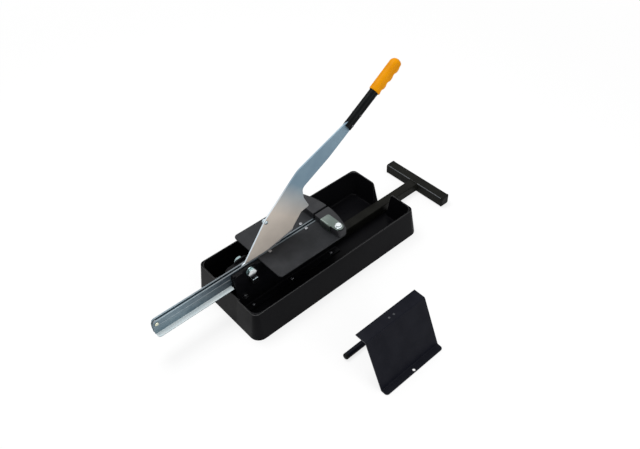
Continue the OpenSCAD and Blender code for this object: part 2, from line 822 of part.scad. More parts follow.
module pivot_bush() {
    half = slot_w / 2 - 0.2;
    color([0.72, 0.55, 0.28]) difference() {
        cross_bar(pivot, -half, half, bush_d / 2);
        cross_bar(pivot, -slot_w, slot_w, pivot_d / 2 + run_gap);
    }
}

module handle_tube() {
    r = tube_d / 2;
    slot = blade_t + 0.2;
    color([0.06, 0.06, 0.07]) at_handle() difference() {
        translate([0, 0, tube_start]) cylinder(h = handle_l - tube_short - tube_start, r = r);
        translate([0, 0, tube_start - 1]) cylinder(h = handle_l, r = r - tube_wall);
        translate([-slot / 2, -tube_d, tube_start - 1]) cube([slot, 2 * tube_d, shoulder_l + 3 - tube_start]);
        for (d = rivet_at) cross_bar([0, d], -tube_d, tube_d, rivet_r + seat);
    }
}

module handle_rivets() {
    r = tube_d / 2;
    color([0.30, 0.31, 0.33]) at_handle() for (d = rivet_at) {
        cross_bar([0, d], -r, r, rivet_r);
        difference() {
            both_sides() translate([r - 3, 0, d]) rotate([0, 90, 0])
                cylinder(h = 4.2, r1 = 1.8 * rivet_r, r2 = 1.1 * rivet_r);
            translate([0, 0, d - tube_d]) cylinder(h = 2 * tube_d, r = r);
        }
    }
}

module grip() {
    r = grip_d / 2;
    start = handle_l - grip_l;
    dome = handle_l - grip_end;
    color([0.95, 0.62, 0.06]) at_handle() difference() {
        rotate_extrude() polygon(rounded([[0, start, 0], [r - 1, start, 2.5], [r, dome, 9],
            [r - 7, handle_l, 6], [0, handle_l, 0]]));
        translate([0, 0, start - 1]) cylinder(h = grip_l - tube_short + 1 + seat, r = tube_d / 2 + seat);
        for (i = [0:3])
            cross_bar([r + finger_r - finger_in, start + finger * (i + 0.5)], -2 * r, 2 * r, finger_r);
    }
}

// T-foot

module square_tube(w, l) {
    difference() {
        linear_extrude(l) polygon(rect(w, w, 2.5));
        translate([0, 0, -1]) linear_extrude(l + 2) polygon(rect(w - 2 * foot_wall, w - 2 * foot_wall, 1));
    }
}

shaft_y = from_front(guide_y) - clear;

module foot_shaft() {
    color([0.11, 0.11, 0.12]) translate([0, shaft_y, shaft_z + shaft_w / 2]) rotate([-90, 0, 0])
        square_tube(shaft_w, from_front(crossbar_y) - shaft_y);
}

module shaft_plug() {
    w = 2 * (carrier_in - clear);
    z0 = tray_floor + clear;
    stem = shaft_w - 2 * foot_wall - 0.2;
    color([0.05, 0.05, 0.05]) {
        translate([-w / 2, shaft_y - plug_t, z0]) cube([w, plug_t, shaft_z + shaft_w + 2 - z0]);
        translate([-stem / 2, shaft_y - head_in, shaft_z + foot_wall + 0.1])
            cube([stem, plug_in + head_in, stem]);
    }
}

module foot_crossbar() {
    half = crossbar_w / 2;
    color([0.11, 0.11, 0.12]) translate([-crossbar_l / 2, from_front(crossbar_y) + half, crossbar_z + half])
        rotate([90, 0, 90]) square_tube(crossbar_w, crossbar_l);
}

module foot_cap() {
    stem = crossbar_w - 2 * foot_wall - 0.2;
    translate([crossbar_l / 2, from_front(crossbar_y) + crossbar_w / 2, cap_w / 2]) rotate([90, 0, 90]) {
        translate([0, 0, -cap_in]) linear_extrude(cap_in + head_in) polygon(rect(stem, stem, 2));
        linear_extrude(cap_t / 2) polygon(rect(cap_w, cap_w, 6));
        translate([0, 0, cap_t / 2]) linear_extrude(cap_t / 2, scale = (cap_w - 8) / cap_w)
            polygon(rect(cap_w, cap_w, 6));
    }
}

module foot_cap_right() {
    color([0.05, 0.05, 0.05]) foot_cap();
}

module foot_cap_left() {
    color([0.05, 0.05, 0.05]) mirror([1, 0, 0]) foot_cap();
}

// End stand

module stand_panel() {
    half = stand_w / 2;
    foot_x = stand_x + stand_foot;
    top_x = stand_x - stand_lean;
    top_z = bed_z - stand_t / 2;
    color([0.13, 0.13, 0.15]) difference() {
        intersection() {
            along(stand_mid - half, stand_w) polygon(sheet([[foot_x, stand_t / 2], [stand_x, stand_t / 2],
                [top_x, top_z], [top_x - stand_top, top_z]], stand_t, 2));
            translate([0, stand_mid, -1]) linear_extrude(bed_z + 2) polygon(rounded([[rod_x, -half, 0],
                [foot_x, -half, stand_corner], [foot_x, half, stand_corner], [rod_x, half, 0]]));
        }
        upright(stand_x + 0.65 * stand_foot, stand_mid, -1, stand_t + 1, stand_hole_d / 2);
        stand_rivet_set(screw_r + seat);
    }
}

module stand_rivet_set(r) {
    for (side = [-1, 1])
        upright(strut_x + 12, stand_mid + side * strut_w / 4, strut_z - strut_t / 2 - head_in, bed_z, r);
}

module stand_strut() {
    color([0.13, 0.13, 0.15]) difference() {
        along(stand_mid - strut_w / 2, strut_w) polygon(sheet([[rod_x, rod_d / 2], [strut_x, strut_z],
            [strut_x + 20, strut_z]], strut_t, 3));
        rod_body(rod_d / 2, stand_w);
        stand_rivet_set(screw_r + seat);
    }
}

module rod_body(r, l) {
    translate([rod_x, stand_mid - l / 2, rod_d / 2]) rotate([-90, 0, 0]) cylinder(h = l, r = r);
}

module stand_rod() {
    color([0.10, 0.10, 0.11]) rod_body(rod_d / 2, stand_w - 2 * rod_cap);
}

module stand_rod_caps() {
    r = rod_d / 2;
    color([0.05, 0.05, 0.05]) for (turn = [0, 180])
        translate([rod_x, stand_mid, r]) rotate([-90, 0, turn]) translate([0, 0, stand_w / 2 - rod_cap])
            rotate_extrude()
                polygon(rounded([[0, 0, 0], [r, 0, 0], [r, rod_cap + 2, 4], [0, rod_cap + 2, 0]]));
}

module stand_rivets() {
    color([0.30, 0.31, 0.33]) {
        stand_rivet_set(screw_r);
        for (side = [-1, 1])
            translate([strut_x + 12, stand_mid + side * strut_w / 4, strut_z - strut_t / 2 - 2])
                cylinder(h = 2, r1 = 1.3 * screw_r, r2 = 2 * screw_r);
    }
}

base_tray();
carrier_left();
carrier_right();
carrier_rivets();
packer_left();
packer_right();
rail_left();
rail_right();
slot_spacers();
rail_end_rivet();
clamp_bolts();
clamp_nuts();
tie_tubes();
shaft_guide();
guide_screws();
bed_left();
bed_right();
bed_screws();
fence_left();
fence_right();
fence_screws();
pivot_bolt();
pivot_nut();
pivot_washers();
stop_bolt();
stop_washer();
stop_nut();
blade();
pivot_bush();
handle_tube();
handle_rivets();
grip();
foot_shaft();
foot_crossbar();
foot_cap_left();
foot_cap_right();
shaft_plug();
stop_arm();
stand_panel();
stand_strut();
stand_rod();
stand_rod_caps();
stand_rivets();
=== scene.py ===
# %% [markdown]
# # A lever cutter for floor boards, finished in Blender
#
# The solids of this cutter come from a CAD model. They have the right size and the right joints,
# but their edges are dead sharp and they have no finish. In this lesson we keep the solids as a
# fixed frame, look at them through a camera, soften their edges, model the small parts that a
# drawing leaves plain, and give every surface a finish made of nodes.
#
# Everything is in metres. X runs from the blade towards the end stand, Y from the rail's free end
# to the T-foot, and Z is up.

# %% Load the frame
import json
import math

import bpy
from mathutils import Matrix, Vector

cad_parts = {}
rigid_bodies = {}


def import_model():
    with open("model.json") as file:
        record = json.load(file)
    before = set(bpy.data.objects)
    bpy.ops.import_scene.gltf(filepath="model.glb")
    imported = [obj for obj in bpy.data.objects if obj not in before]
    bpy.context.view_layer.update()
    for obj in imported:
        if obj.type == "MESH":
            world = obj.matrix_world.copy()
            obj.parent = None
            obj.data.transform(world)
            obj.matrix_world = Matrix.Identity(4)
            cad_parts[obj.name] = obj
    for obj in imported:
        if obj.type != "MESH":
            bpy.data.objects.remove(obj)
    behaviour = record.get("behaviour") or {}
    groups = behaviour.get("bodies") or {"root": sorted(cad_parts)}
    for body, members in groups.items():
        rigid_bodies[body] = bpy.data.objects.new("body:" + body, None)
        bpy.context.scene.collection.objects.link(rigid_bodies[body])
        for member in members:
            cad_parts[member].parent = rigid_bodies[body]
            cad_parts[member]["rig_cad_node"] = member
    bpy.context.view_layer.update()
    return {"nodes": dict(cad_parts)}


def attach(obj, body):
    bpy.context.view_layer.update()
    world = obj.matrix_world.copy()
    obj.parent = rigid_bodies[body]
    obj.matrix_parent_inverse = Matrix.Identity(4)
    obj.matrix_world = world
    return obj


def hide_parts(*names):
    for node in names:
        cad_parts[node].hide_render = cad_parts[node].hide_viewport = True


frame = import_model()
nodes = frame["nodes"]
mm = 0.001

# %% [markdown]
# ## Camera
#
# A camera is easiest to check when it is written as three directions: where its right side, its
# top and its back point. Those three columns and the place make the camera's matrix. The lens is
# a normal one, a little longer than the sensor is wide, so the tray tapers gently to the rear.

# %% Camera
camera_data = bpy.data.cameras.new("camera")
camera_data.sensor_width = 36.0
camera_data.lens = 36.83
camera = bpy.data.objects.new("camera", camera_data)
bpy.context.collection.objects.link(camera)
camera_right = Vector((0.6608, 0.7497, -0.0374))
camera_up = Vector((-0.5018, 0.4782, 0.7209))
camera_back = Vector((0.5583, -0.4575, 0.6922))
camera_turn = Matrix((camera_right, camera_up, camera_back)).transposed()
camera.matrix_world = Matrix.Translation((0.970, -0.758, 1.300)) @ camera_turn.to_4x4()
bpy.context.scene.camera = camera
print("camera: lens", camera_data.lens, "mm")

# %% [markdown]
# ## Floor and light
#
# The cutter stands on a white sheet. A floor that is only white paint turns grey in the picture,
# and more light would wash out the steel. So the rays that show the floor, straight to the camera
# or by way of a shiny part, get most of it as a glow of white, and the rest stays paint and keeps
# the soft shadow. Away from the cutter the glow takes over, so that no horizon shows. Rays that
# only carry light meet plain paint.

# %% Floor
bpy.ops.object.select_all(action="DESELECT")
bpy.ops.mesh.primitive_plane_add(size=14, location=(0, 0, -0.0004))
floor = bpy.context.object
floor.name = "floor"


def seen_rays(tree):
    """1 for rays that show a surface, 0 for rays that only light it."""
    path = tree.nodes.new("ShaderNodeLightPath")
    total = path.outputs["Is Camera Ray"]
    for output in ("Is Glossy Ray", "Is Transmission Ray"):
        either = tree.nodes.new("ShaderNodeMath")
        either.operation = "MAXIMUM"
        tree.links.new(total, either.inputs[0])
        tree.links.new(path.outputs[output], either.inputs[1])
        total = either.outputs[0]
    return total


floor_paint = bpy.data.materials.new("floor_paint")
floor_paint.use_nodes = True
tree = floor_paint.node_tree
tree.nodes.clear()
paint = tree.nodes.new("ShaderNodeBsdfDiffuse")
paint.inputs["Color"].default_value = (0.95, 0.95, 0.95, 1)
glow = tree.nodes.new("ShaderNodeEmission")
glow.inputs["Strength"].default_value = 1.0
floor_place = tree.nodes.new("ShaderNodeTexCoord")
from_middle = tree.nodes.new("ShaderNodeVectorMath")
from_middle.operation = "LENGTH"
tree.links.new(floor_place.outputs["Object"], from_middle.inputs[0])
glow_share = tree.nodes.new("ShaderNodeMapRange")
glow_share.inputs["From Min"].default_value = 0.8
glow_share.inputs["From Max"].default_value = 2.2
glow_share.inputs["To Min"].default_value = 0.78
glow_share.inputs["To Max"].default_value = 1.0
tree.links.new(from_middle.outputs["Value"], glow_share.inputs["Value"])
most_glow = tree.nodes.new("ShaderNodeMixShader")
tree.links.new(glow_share.outputs[0], most_glow.inputs[0])
tree.links.new(paint.outputs[0], most_glow.inputs[1])
tree.links.new(glow.outputs[0], most_glow.inputs[2])
by_ray = tree.nodes.new("ShaderNodeMixShader")
tree.links.new(seen_rays(tree), by_ray.inputs[0])
tree.links.new(paint.outputs[0], by_ray.inputs[1])
tree.links.new(most_glow.outputs[0], by_ray.inputs[2])
surface = tree.nodes.new("ShaderNodeOutputMaterial")
tree.links.new(by_ray.outputs[0], surface.inputs["Surface"])
floor.data.materials.append(floor_paint)
print("floor:", floor.dimensions.x, "m wide")

# %% [markdown]
# The light is soft. The sky is white where it shows, and dimmer for the rays that only carry light,
# so the picture stays white while the blacks stay black. A large round lamp above on the left is
# the key, and a weaker one on the right fills the near sides. An area lamp shines along its own
# -Z axis, so it is aimed by turning that axis along the line to a target.

# %% World and lamps
world = bpy.data.worlds.new("studio")
bpy.context.scene.world = world
world.use_nodes = True
tree = world.node_tree
sky = tree.nodes["Background"]
sky.inputs["Color"].default_value = (1, 1, 1, 1)
sky_level = tree.nodes.new("ShaderNodeMapRange")
sky_level.inputs["To Min"].default_value = 0.58
sky_level.inputs["To Max"].default_value = 1.0
tree.links.new(seen_rays(tree), sky_level.inputs["Value"])
tree.links.new(sky_level.outputs[0], sky.inputs["Strength"])


def soft_box(name, place, target, size, power):
    """A round area lamp that points at a target."""
    data = bpy.data.lights.new(name, "AREA")
    data.shape = "DISK"
    data.size = size
    data.energy = power
    lamp = bpy.data.objects.new(name, data)
    bpy.context.collection.objects.link(lamp)
    lamp.location = place
    lamp.rotation_euler = (Vector(target) - Vector(place)).to_track_quat("-Z", "Y").to_euler()


soft_box("key", place=(-0.8, -0.1, 2.5), target=(0.05, 0, 0.1), size=1.5, power=40)
soft_box("fill", place=(2.1, 0.3, 1.2), target=(0.1, 0, 0.1), size=1.4, power=16)
bpy.context.scene.view_settings.view_transform = "Standard"

# %% [markdown]
# ## Finishes
#
# Every finish is one Principled shader with a little noise behind it. A helper starts the
# material and keeps constant values on the shader's own sockets. The other helpers lay patterns
# over it: mottle changes the colour, uneven_gloss changes the roughness, and grain presses the
# noise into the surface as a bump. The noise reads Object coordinates, so a pattern has a real size
# on the part: a scale of 100 is a pattern of about a centimetre. Where a finish changes from one
# place to another, a number made from a coordinate mixes two tones.
#
# Black parts are harder than they look. Black paint keeps its shape only through what it
# reflects, and on a white sheet it reflects a lot of white, so the blacks below have a very dark
# base and a weak specular level.

# %% Finish helpers


def finish(name, colour, roughness, metallic=0.0, specular=0.5):
    """A new material with its constant values."""
    material = bpy.data.materials.new(name)
    material.use_nodes = True
    shader = material.node_tree.nodes["Principled BSDF"]
    shader.inputs["Base Color"].default_value = (*colour, 1)
    shader.inputs["Roughness"].default_value = roughness
    shader.inputs["Metallic"].default_value = metallic
    shader.inputs["Specular IOR Level"].default_value = specular
    return material


def noise(material, scale, stretch=(1, 1, 1), turn=(0, 0, 0), detail=4.0):
    """Noise on Object coordinates, stretched and turned."""
    tree = material.node_tree
    place = tree.nodes.new("ShaderNodeTexCoord")
    mapping = tree.nodes.new("ShaderNodeMapping")
    mapping.vector_type = "TEXTURE"
    mapping.inputs["Scale"].default_value = stretch
    mapping.inputs["Rotation"].default_value = turn
    texture = tree.nodes.new("ShaderNodeTexNoise")
    texture.inputs["Scale"].default_value = scale
    texture.inputs["Detail"].default_value = detail
    tree.links.new(place.outputs["Object"], mapping.inputs["Vector"])
    tree.links.new(mapping.outputs["Vector"], texture.inputs["Vector"])
    return texture.outputs["Fac"]


def colours(material, pattern, dark, light, low=0.35, high=0.65):
    """A ramp from a dark to a light colour along a pattern."""
    tree = material.node_tree
    ramp = tree.nodes.new("ShaderNodeValToRGB")
    ramp.color_ramp.elements[0].position = low
    ramp.color_ramp.elements[0].color = (*dark, 1)
    ramp.color_ramp.elements[1].position = high
    ramp.color_ramp.elements[1].color = (*light, 1)
    tree.links.new(pattern, ramp.inputs["Fac"])
    return ramp.outputs["Color"]


def mottle(material, pattern, dark, light):
    """Two colours that run into each other along a pattern."""
    tree = material.node_tree
    shader = tree.nodes["Principled BSDF"]
    tree.links.new(colours(material, pattern, dark, light), shader.inputs["Base Color"])


def scaled(material, value, low, high, to_low, to_high):
    """A number brought from one range to another."""
    tree = material.node_tree
    level = tree.nodes.new("ShaderNodeMapRange")
    level.inputs["From Min"].default_value = low
    level.inputs["From Max"].default_value = high
    level.inputs["To Min"].default_value = to_low
    level.inputs["To Max"].default_value = to_high
    tree.links.new(value, level.inputs["Value"])
    return level.outputs[0]


def along(material, direction, output="Object"):
    """How far a coordinate goes in a direction: Object tells the place, Normal a face's turn."""
    tree = material.node_tree
    place = tree.nodes.new("ShaderNodeTexCoord")
    dot = tree.nodes.new("ShaderNodeVectorMath")
    dot.operation = "DOT_PRODUCT"
    dot.inputs[1].default_value = direction
    tree.links.new(place.outputs[output], dot.inputs[0])
    return dot.outputs["Value"]


def product(material, one, other):
    """One number times another."""
    tree = material.node_tree
    times = tree.nodes.new("ShaderNodeMath")
    times.operation = "MULTIPLY"
    tree.links.new(one, times.inputs[0])
    tree.links.new(other, times.inputs[1])
    return times.outputs[0]


def mixed(material, share, first, second):
    """Two colours mixed by a share."""
    tree = material.node_tree
    mix = tree.nodes.new("ShaderNodeMix")
    mix.data_type = "RGBA"
    # The node keeps a set of sockets for each kind of data: 6, 7 and 2 are those for colours.
    tree.links.new(share, mix.inputs[0])
    tree.links.new(first, mix.inputs[6])
    tree.links.new(second, mix.inputs[7])
    return mix.outputs[2]


def two_tones(material, share, first, second):
    """Mixes two colours by a share and hands them to the shader."""
    tree = material.node_tree
    colour = mixed(material, share, first, second)
    tree.links.new(colour, tree.nodes["Principled BSDF"].inputs["Base Color"])


def uneven_gloss(material, pattern, smooth, rough, low=0.3, high=0.7):
    """A roughness that changes along a pattern."""
    level = scaled(material, pattern, low, high, smooth, rough)
    tree = material.node_tree
    tree.links.new(level, tree.nodes["Principled BSDF"].inputs["Roughness"])


def grain(material, pattern, strength, depth):
    """A pattern pressed into the surface."""
    tree = material.node_tree
    bump = tree.nodes.new("ShaderNodeBump")
    bump.inputs["Strength"].default_value = strength
    bump.inputs["Distance"].default_value = depth
    tree.links.new(pattern, bump.inputs["Height"])
    tree.links.new(bump.outputs["Normal"], tree.nodes["Principled BSDF"].inputs["Normal"])


# %% [markdown]
# The tray is moulded in black plastic with a faint texture. Its rim is shinier and a little
# lighter, and has a finish of its own: the lighter colour is a painted highlight along the rim. The
# fence blocks are a greyer plastic, the caps are rubber, and the grip is a soft orange plastic.

# %% Plastics
tray_black = finish("tray_black", (0.004, 0.004, 0.005), 0.3, specular=0.035)
mottle(tray_black, noise(tray_black, 9), (0.0030, 0.0030, 0.0038), (0.0048, 0.0048, 0.0056))
uneven_gloss(tray_black, noise(tray_black, 26), 0.26, 0.40)
grain(tray_black, noise(tray_black, 700, detail=2), 0.06, 0.0002)

# A lighter rim: the lighter colour is a painted highlight along the rim.
tray_rim_highlight = finish("tray_rim_highlight", (0.011, 0.011, 0.012), 0.3, specular=0.35)
mottle(tray_rim_highlight, noise(tray_rim_highlight, 30), (0.008, 0.008, 0.009), (0.014, 0.014, 0.015))
uneven_gloss(tray_rim_highlight, noise(tray_rim_highlight, 60), 0.24, 0.40)

rubber_black = finish("rubber_black", (0.004, 0.004, 0.004), 0.55, specular=0.08)
mottle(rubber_black, noise(rubber_black, 60), (0.0035, 0.0035, 0.0035), (0.006, 0.006, 0.006))
grain(rubber_black, noise(rubber_black, 900, detail=2), 0.12, 0.0002)

fence_moulding = finish("fence_moulding", (0.018, 0.0185, 0.021), 0.42, specular=0.2)
mottle(fence_moulding, noise(fence_moulding, 45), (0.0145, 0.015, 0.0175), (0.022, 0.0225, 0.025))
uneven_gloss(fence_moulding, noise(fence_moulding, 120), 0.36, 0.50)
grain(fence_moulding, noise(fence_moulding, 900, detail=2), 0.12, 0.0002)

grip_orange = finish("grip_orange", (0.64, 0.245, 0.001), 0.42, specular=0.05)
mottle(grip_orange, noise(grip_orange, 38), (0.60, 0.222, 0.001), (0.68, 0.265, 0.001))
uneven_gloss(grip_orange, noise(grip_orange, 140), 0.36, 0.48)
grain(grip_orange, noise(grip_orange, 1100, detail=2), 0.10, 0.0002)
print("materials so far:", len(bpy.data.materials))

# %% [markdown]
# The folded steel is powder coated. Baked powder dries with a fine orange peel, which is noise at a
# small scale again. The foot and the end stand get a second and lighter coat for their edges, a
# painted highlight along them.

# %% Coated steel


def powder_coat(name, dark, light, gloss, specular):
    """Baked powder paint: a fine orange peel and a satin shine."""
    coat = finish(name, light, gloss, specular=specular)
    mottle(coat, noise(coat, 30), dark, light)
    uneven_gloss(coat, noise(coat, 90), gloss - 0.06, gloss + 0.08)
    grain(coat, noise(coat, 600, detail=3), 0.14, 0.0002)
    return coat


carrier_coat = powder_coat(
    "carrier_coat", (0.003, 0.003, 0.004), (0.005, 0.005, 0.006), gloss=0.42, specular=0.06
)
foot_coat = powder_coat(
    "foot_coat", (0.0055, 0.0055, 0.0045), (0.0085, 0.0085, 0.007), gloss=0.46, specular=0.05
)
# The lighter edge coats below are painted highlights along the edges of the foot and the stand.
foot_edge_highlight = powder_coat(
    "foot_edge_highlight", (0.04, 0.044, 0.048), (0.075, 0.081, 0.087), gloss=0.38, specular=0.3
)
stand_coat = powder_coat(
    "stand_coat", (0.0035, 0.0040, 0.0075), (0.006, 0.0065, 0.0105), gloss=0.38, specular=0.06
)
stand_edge_highlight = powder_coat(
    "stand_edge_highlight", (0.012, 0.013, 0.018), (0.022, 0.023, 0.030), gloss=0.36, specular=0.3
)
bed_coat = powder_coat(
    "bed_coat", (0.014, 0.015, 0.017), (0.021, 0.022, 0.025), gloss=0.48, specular=0.15
)
tube_gloss = powder_coat(
    "tube_gloss", (0.003, 0.0035, 0.004), (0.005, 0.006, 0.0065), gloss=0.32, specular=0.04
)
print("materials so far:", len(bpy.data.materials))

# %% [markdown]
# Bare steel shows the long marks of rolling and grinding. The noise is stretched along them, and
# the same stretched noise drives both the roughness and a very shallow bump. The plated fasteners
# are mottled on top of that.

# %% Plated steel


def worked_metal(name, colour, smooth, rough, stretch=(1, 1, 1), turn=(0, 0, 0),
                 metallic=1.0, specular=0.5):
    """Metal with the marks of its making, in one colour."""
    metal = finish(name, colour, rough, metallic, specular)
    marks = noise(metal, 130, stretch, turn)
    uneven_gloss(metal, marks, smooth, rough)
    grain(metal, marks, 0.03, 0.0001)
    return metal


def mottled_metal(name, dark, light, smooth, rough, **making):
    """Metal with the marks of its making, in two colours that run into each other."""
    metal = worked_metal(name, light, smooth, rough, **making)
    mottle(metal, noise(metal, 24), dark, light)
    return metal


bright_zinc = mottled_metal("bright_zinc", (0.72, 0.77, 0.79), (0.86, 0.90, 0.92), 0.14, 0.26)
dull_zinc = mottled_metal("dull_zinc", (0.20, 0.205, 0.22), (0.30, 0.305, 0.32), 0.28, 0.44)
dark_zinc = mottled_metal("dark_zinc", (0.045, 0.047, 0.052), (0.085, 0.088, 0.095), 0.32, 0.46)
pivot_zinc = mottled_metal("pivot_zinc", (0.25, 0.33, 0.335), (0.33, 0.42, 0.425), 0.20, 0.32)
pin_zinc = mottled_metal("pin_zinc", (0.40, 0.48, 0.52), (0.50, 0.58, 0.62), 0.26, 0.38)
yellow_zinc = mottled_metal("yellow_zinc", (0.56, 0.57, 0.44), (0.68, 0.69, 0.56), 0.18, 0.30)
bush_bronze = mottled_metal("bush_bronze", (0.44, 0.28, 0.12), (0.58, 0.39, 0.18), 0.28, 0.42)
stop_zinc = mottled_metal(
    "stop_zinc", (0.125, 0.155, 0.142), (0.175, 0.205, 0.19), 0.30, 0.44, stretch=(40, 1, 1)
)
print("materials so far:", len(bpy.data.materials))

# %% [markdown]
# Three finishes change from place to place. On the rails the low flange that looks up is painted
# nearly white, a painted highlight of the light from above, while the rest keeps the dull grey of
# the zinc bath and is painted darker towards the blade, where the rail runs into the tray: a
# painted shade. The flange is what is low and looks up, so a height and the Z part of the normal
# find it.
# The blade is ground at its cutting part and keeps the blue of the rolled plate in its arm; below
# the arm it is painted lighter and warmer, a painted reflection of a wooden board. Its cut edges,
# whose normals don't point sideways, are brighter than its sides below the arm: partly the bare cut
# steel and partly a painted highlight. The end of the pivot bolt is painted bright above and dark
# below, a painted highlight and a painted shade.

# %% Rails, blade and pivot
upwards = (0, 0, 1)
backwards = (0, 1, 0)
sideways = (1, 0, 0)
up_the_arm = (0, 0.9, 1)

rail_zinc = worked_metal(
    "rail_zinc", (0.3, 0.3, 0.3), 0.34, 0.46, stretch=(1, 40, 1), metallic=0.05
)
spangle = noise(rail_zinc, 60)
zinc_grey = colours(rail_zinc, spangle, (0.096, 0.153, 0.190), (0.136, 0.198, 0.236))
# Darker zinc towards the blade, where the rail runs into the tray: a painted shade.
zinc_painted_shade = colours(rail_zinc, spangle, (0.024, 0.036, 0.048), (0.040, 0.056, 0.070))
# Nearly white zinc for the flange that looks up: a painted highlight of the light from above.
zinc_painted_highlight = colours(rail_zinc, spangle, (0.86, 0.97, 1.0), (0.92, 0.99, 1.0))
looks_up = scaled(rail_zinc, along(rail_zinc, upwards, "Normal"), 0.35, 0.85, 0, 1)
is_low = scaled(rail_zinc, along(rail_zinc, upwards), 0.090, 0.096, 1, 0.08)
is_painted_highlight = product(rail_zinc, looks_up, is_low)
is_painted_shade = scaled(rail_zinc, along(rail_zinc, backwards), -0.41, -0.28, 0, 1)
two_tones(rail_zinc, is_painted_highlight, mixed(rail_zinc, is_painted_shade, zinc_grey, zinc_painted_shade), zinc_painted_highlight)

grinding = {"stretch": (1, 30, 1), "turn": (math.radians(42), 0, 0)}
blade_steel = worked_metal(
    "blade_steel", (0.4, 0.4, 0.4), 0.36, 0.48, metallic=0.15, specular=0.15, **grinding
)
ground_edge = mottled_metal(
    "ground_edge", (0.58, 0.585, 0.58), (0.68, 0.685, 0.68), 0.24, 0.36, metallic=0.5, **grinding
)
sheen = noise(blade_steel, 14)
# A lighter, warmer steel below the arm: a painted reflection of a wooden board.
steel_painted_reflection = colours(blade_steel, sheen, (0.58, 0.52, 0.46), (0.64, 0.575, 0.51))
steel_blue = colours(blade_steel, sheen, (0.150, 0.230, 0.298), (0.184, 0.270, 0.335))
# Brighter cut edges below the arm: partly bare cut steel, partly a painted highlight.
steel_cut_and_highlight = colours(blade_steel, sheen, (0.60, 0.68, 0.74), (0.67, 0.75, 0.80))
reach = along(blade_steel, up_the_arm)
is_arm = scaled(blade_steel, reach, 0.135, 0.25, 0, 1)
is_bare = scaled(blade_steel, reach, 0.13, 0.25, 1, 0.1)
across = along(blade_steel, sideways, "Normal")
is_edge = scaled(blade_steel, product(blade_steel, across, across), 0.1, 0.6, 1, 0)
is_cut_highlight = product(blade_steel, is_edge, is_bare)
two_tones(blade_steel, is_cut_highlight, mixed(blade_steel, is_arm, steel_painted_reflection, steel_blue), steel_cut_and_highlight)

# The bolt's end is painted bright above and dark below: a painted highlight and a painted shade.
bolt_end_painted_light = worked_metal("bolt_end_painted_light", (0.3, 0.3, 0.3), 0.40, 0.55, metallic=0.05)
bolt_end_pattern = noise(bolt_end_painted_light, 80)
bolt_end_painted_shade = colours(bolt_end_painted_light, bolt_end_pattern, (0.030, 0.030, 0.036), (0.050, 0.050, 0.056))
bolt_end_painted_highlight = colours(bolt_end_painted_light, bolt_end_pattern, (0.90, 0.95, 0.97), (0.96, 0.98, 0.99))
is_high = scaled(bolt_end_painted_light, along(bolt_end_painted_light, upwards), 0.110, 0.117, 0, 1)
two_tones(bolt_end_painted_light, is_high, bolt_end_painted_shade, bolt_end_painted_highlight)
print("materials in all:", len(bpy.data.materials))

# %% Modelling tools


def pick(*objects):
    """Selects only these objects, the last one active."""
    bpy.ops.object.select_all(action="DESELECT")
    for one in objects:
        one.select_set(True)
    bpy.context.view_layer.objects.active = objects[-1]


def choose(piece, kind, test):
    """Opens a mesh for editing with the vertices, edges or faces selected that pass the test."""
    pick(piece)
    bpy.ops.object.mode_set(mode="EDIT")
    bpy.ops.mesh.select_mode(type=kind)
    bpy.ops.mesh.select_all(action="DESELECT")
    bpy.ops.object.mode_set(mode="OBJECT")
    mesh = piece.data
    if kind == "FACE":
        for face in mesh.polygons:
            face.select = test(face.center, face.normal)
    elif kind == "EDGE":
        for edge in mesh.edges:
            a, b = (mesh.vertices[i].co for i in edge.vertices)
            edge.select = test(a, b)
    else:
        for vertex in mesh.vertices:
            vertex.select = test(vertex.co)
    bpy.ops.object.mode_set(mode="EDIT")


def close_up(piece):
    """Leaves edit mode with all normals pointing out and soft shading on the flat angles."""
    bpy.ops.mesh.select_all(action="SELECT")
    bpy.ops.mesh.normals_make_consistent(inside=False)
    bpy.ops.object.mode_set(mode="OBJECT")
    pick(piece)
    bpy.ops.object.shade_smooth_by_angle(angle=math.radians(35))


def cut(piece, tool, how):
    """Lets one piece cut another, and throws the tool away."""
    pick(piece)
    knife = piece.modifiers.new("cut", "BOOLEAN")
    knife.operation = how
    knife.use_self = True
    knife.object = tool
    bpy.ops.object.modifier_apply(modifier=knife.name)
    pick(tool)
    bpy.ops.object.delete()
    pick(piece)


def settle(piece, place, turn=(0, 0, 0)):
    """Turns and moves a piece, and writes that into its mesh."""
    pick(piece)
    piece.location = place
    piece.rotation_euler = turn
    bpy.ops.object.transform_apply(location=True, rotation=True, scale=True)
    return piece


def copy_of(piece):
    """A second piece with a mesh of its own."""
    pick(piece)
    bpy.ops.object.duplicate()
    return bpy.context.object


def joined(name, pieces):
    """One named piece made of several."""
    pick(*pieces)
    if len(pieces) > 1:
        bpy.ops.object.join()
    piece = bpy.context.object
    piece.name = name
    piece.data.name = name
    return piece


def dress(piece, *materials):
    """Gives a piece its finish, and a second one for chosen faces if there is one."""
    piece.data.materials.clear()
    for material in materials:
        piece.data.materials.append(material)


def hand_over(piece, body, slot, *stands_for):
    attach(piece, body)
    if stands_for:
        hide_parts(*stands_for)
    print("made", piece.name, len(piece.data.polygons), "faces")


# %% [markdown]
# ## Soft edges on the solids
#
# Pressed, folded and moulded parts have no sharp edges, and a small round edge is what catches
# the light. A CAD solid arrives as loose triangles, so we never touch it: we duplicate it, merge
# the doubles, dissolve the flat triangles into whole faces, and let a Bevel modifier round every
# edge that is sharper than an angle. The copy then stands for the solid. Bevelled faces blend
# their shading into the flat ones, which looks like a dent, so a Weighted Normal modifier lets the
# large faces win. Where a piece has a second, lighter finish, the bevel takes it: a painted
# highlight along the edges. The corners of the crossbar's tube are round in the solid already, so
# no bevel finds them: there the faces that lean take the painted highlight.

# %% Softening


